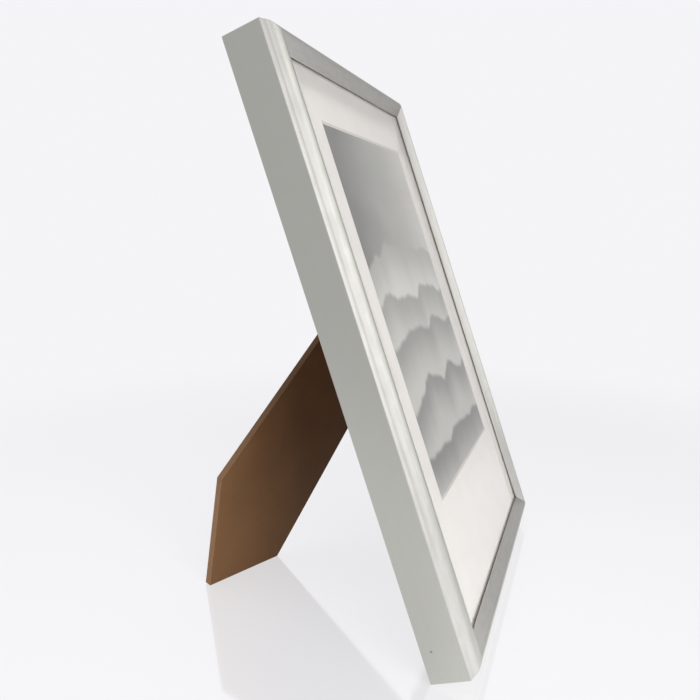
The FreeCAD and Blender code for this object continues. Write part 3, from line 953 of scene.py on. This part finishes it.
def floor_material(stage):
    """Pale gloss that glows to the camera and in reflections, and fades into the backdrop."""
    s = Shader("pale floor")
    place = s.node("ShaderNodeTexCoord").outputs["Object"]
    path = s.node("ShaderNodeLightPath").outputs
    seen = path["Is Camera Ray"]
    bright = s.maths("MAXIMUM", seen, path["Is Glossy Ray"])
    fade = s.remap(s.vector("LENGTH", place), FADE_START, FADE_END, smooth=True)
    matt = s.node("ShaderNodeBsdfDiffuse", Color=stage.backdrop)
    shine = s.node("ShaderNodeBsdfGlossy", Color=WHITE,
                   Roughness=s.spread(s.noise(place, scale=8.0), 0.06, 0.08))
    across, ahead, _ = s.split(place)
    at_left_front = s.times(s.remap(ahead, AHEAD_START, AHEAD_END),
                            s.remap(across, ACROSS_RIGHT, ACROSS_LEFT, GLOW_RIGHT, GLOW_LEFT))
    extra = s.times(s.minus(1.0, seen), at_left_front)
    near = s.node("ShaderNodeEmission", Color=stage.backdrop,
                  Strength=s.add(extra, FLOOR_STRENGTH))
    surround = mirrored_strength(s, stage, s.vector("NORMALIZE", place))
    far = s.node("ShaderNodeEmission", Color=stage.backdrop,
                 Strength=s.remap(seen, 0.0, 1.0, surround, 1.0))
    body = s.blend(s.times(bright, stage.floor_glow), matt, near)
    coat = s.node("ShaderNodeFresnel", IOR=FLOOR_IOR).outputs[0]
    return s.output(s.blend(fade, s.blend(coat, body, shine), far))


def make_floor(stage):
    """Round floor under the frame."""
    builder = bmesh.new()
    bmesh.ops.create_circle(builder, cap_ends=True, radius=FLOOR_RADIUS, segments=FLOOR_SEGMENTS)
    mesh = bpy.data.meshes.new("floor")
    builder.to_mesh(mesh)
    builder.free()
    mesh.materials.append(floor_material(stage))
    made = linked_object("floor", mesh)
    return made


def make_world(scene, stage):
    """Plain studio surround: white behind the object, softer as a light and in reflections."""
    world = bpy.data.worlds.new("studio")
    scene.world = world
    s = Shader(world)
    path = s.node("ShaderNodeLightPath").outputs
    lighting = path["Is Diffuse Ray"]
    mirrored = mirrored_strength(s, stage, s.node("ShaderNodeTexCoord").outputs["Generated"])
    strength = s.maths("MAXIMUM", s.times(lighting, stage.surround_light),
                       s.times(s.minus(1.0, lighting), mirrored))
    strength = s.maths("MAXIMUM", strength, path["Is Camera Ray"])
    back = s.node("ShaderNodeBackground", Color=stage.backdrop, Strength=strength)
    s.node("ShaderNodeOutputWorld", Surface=back.outputs[0])


def aim(made, place, target):
    """Puts a lamp or the camera at a place and points it at a target."""
    made.location = place
    gaze = Vector(target) - Vector(place)
    made.rotation_mode = "QUATERNION"
    made.rotation_quaternion = gaze.to_track_quat("-Z", "Y")


def make_lights(floor):
    """Soft lamps for the matt surfaces, and softboxes that only the metal and the glass mirror."""
    missed = bpy.data.collections.new("softboxes miss these")
    missed.objects.link(floor)
    missed.collection_objects[0].light_linking.link_state = "EXCLUDE"
    for name, place, width, height, power, mirrored in LAMPS:
        lamp = bpy.data.lights.new(name, "AREA")
        lamp.shape = "RECTANGLE"
        lamp.size = width
        lamp.size_y = height
        lamp.energy = power
        made = linked_object(name, lamp)
        aim(made, place, LAMP_AIM)
        made.visible_camera = False
        made.visible_glossy = mirrored
        made.visible_transmission = mirrored
        made.visible_diffuse = not mirrored
        if mirrored:
            made.light_linking.receiver_collection = missed


def make_camera(scene, stage):
    """Camera with the photo's view."""
    data = bpy.data.cameras.new("camera")
    data.lens = stage.lens
    data.sensor_width = SENSOR_WIDTH
    data.shift_x, data.shift_y = stage.shift
    data.clip_start = CLIP_START
    data.clip_end = CLIP_END
    made = linked_object("camera", data)
    aim(made, stage.camera_place, stage.camera_aim)
    made.rotation_quaternion = made.rotation_quaternion @ Quaternion((0, 0, 1), stage.camera_roll)
    scene.camera = made


class PhotoFrameStage(bpy.types.Operator):
    """Sets the floor, the backdrop, the lights and the camera"""
    bl_idname = "photo_frame.stage"
    bl_label = "Floor, lights and camera"

    def execute(self, context):
        stage = context.scene.photo_frame_stage
        context.scene.view_settings.view_transform = "Standard"
        floor = make_floor(stage)
        make_world(context.scene, stage)
        make_lights(floor)
        make_camera(context.scene, stage)
        return {"FINISHED"}


class PhotoFramePanel(bpy.types.Panel):
    """Steps that dress the photo frame, and their settings"""
    bl_idname = "VIEW3D_PT_photo_frame"
    bl_label = "Photo frame"
    bl_space_type = "VIEW_3D"
    bl_region_type = "UI"
    bl_category = "Photo frame"

    def draw(self, context):
        for operator in OPERATORS:
            self.layout.operator(operator.bl_idname)
        for group in GROUPS:
            settings = getattr(context.scene, group)
            box = self.layout.box()
            for name in settings.__annotations__:
                box.prop(settings, name)


OPERATORS = (PhotoFrameRails, PhotoFrameWafers, PhotoFrameSheets, PhotoFrameBoards,
             PhotoFrameHardware, PhotoFrameStage)
GROUPS = {"photo_frame_moulding": FrameMoulding, "photo_frame_sheets": FrameSheets,
          "photo_frame_back": FrameBack, "photo_frame_fixings": FrameFixings,
          "photo_frame_stage": FrameStage}


def register():
    for group, kind in GROUPS.items():
        bpy.utils.register_class(kind)
        setattr(bpy.types.Scene, group, bpy.props.PointerProperty(type=kind))
    for kind in (*OPERATORS, PhotoFramePanel):
        bpy.utils.register_class(kind)


def unregister():
    for kind in (PhotoFramePanel, *reversed(OPERATORS)):
        bpy.utils.unregister_class(kind)
    for group, kind in GROUPS.items():
        delattr(bpy.types.Scene, group)
        bpy.utils.unregister_class(kind)


def main():
    """Registers the add-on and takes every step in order."""
    register()
    bpy.ops.photo_frame.rails()
    bpy.ops.photo_frame.wafers()
    bpy.ops.photo_frame.sheets()
    bpy.ops.photo_frame.boards()
    bpy.ops.photo_frame.hardware()
    bpy.ops.photo_frame.stage()


if __name__ == "__main__":
    main()
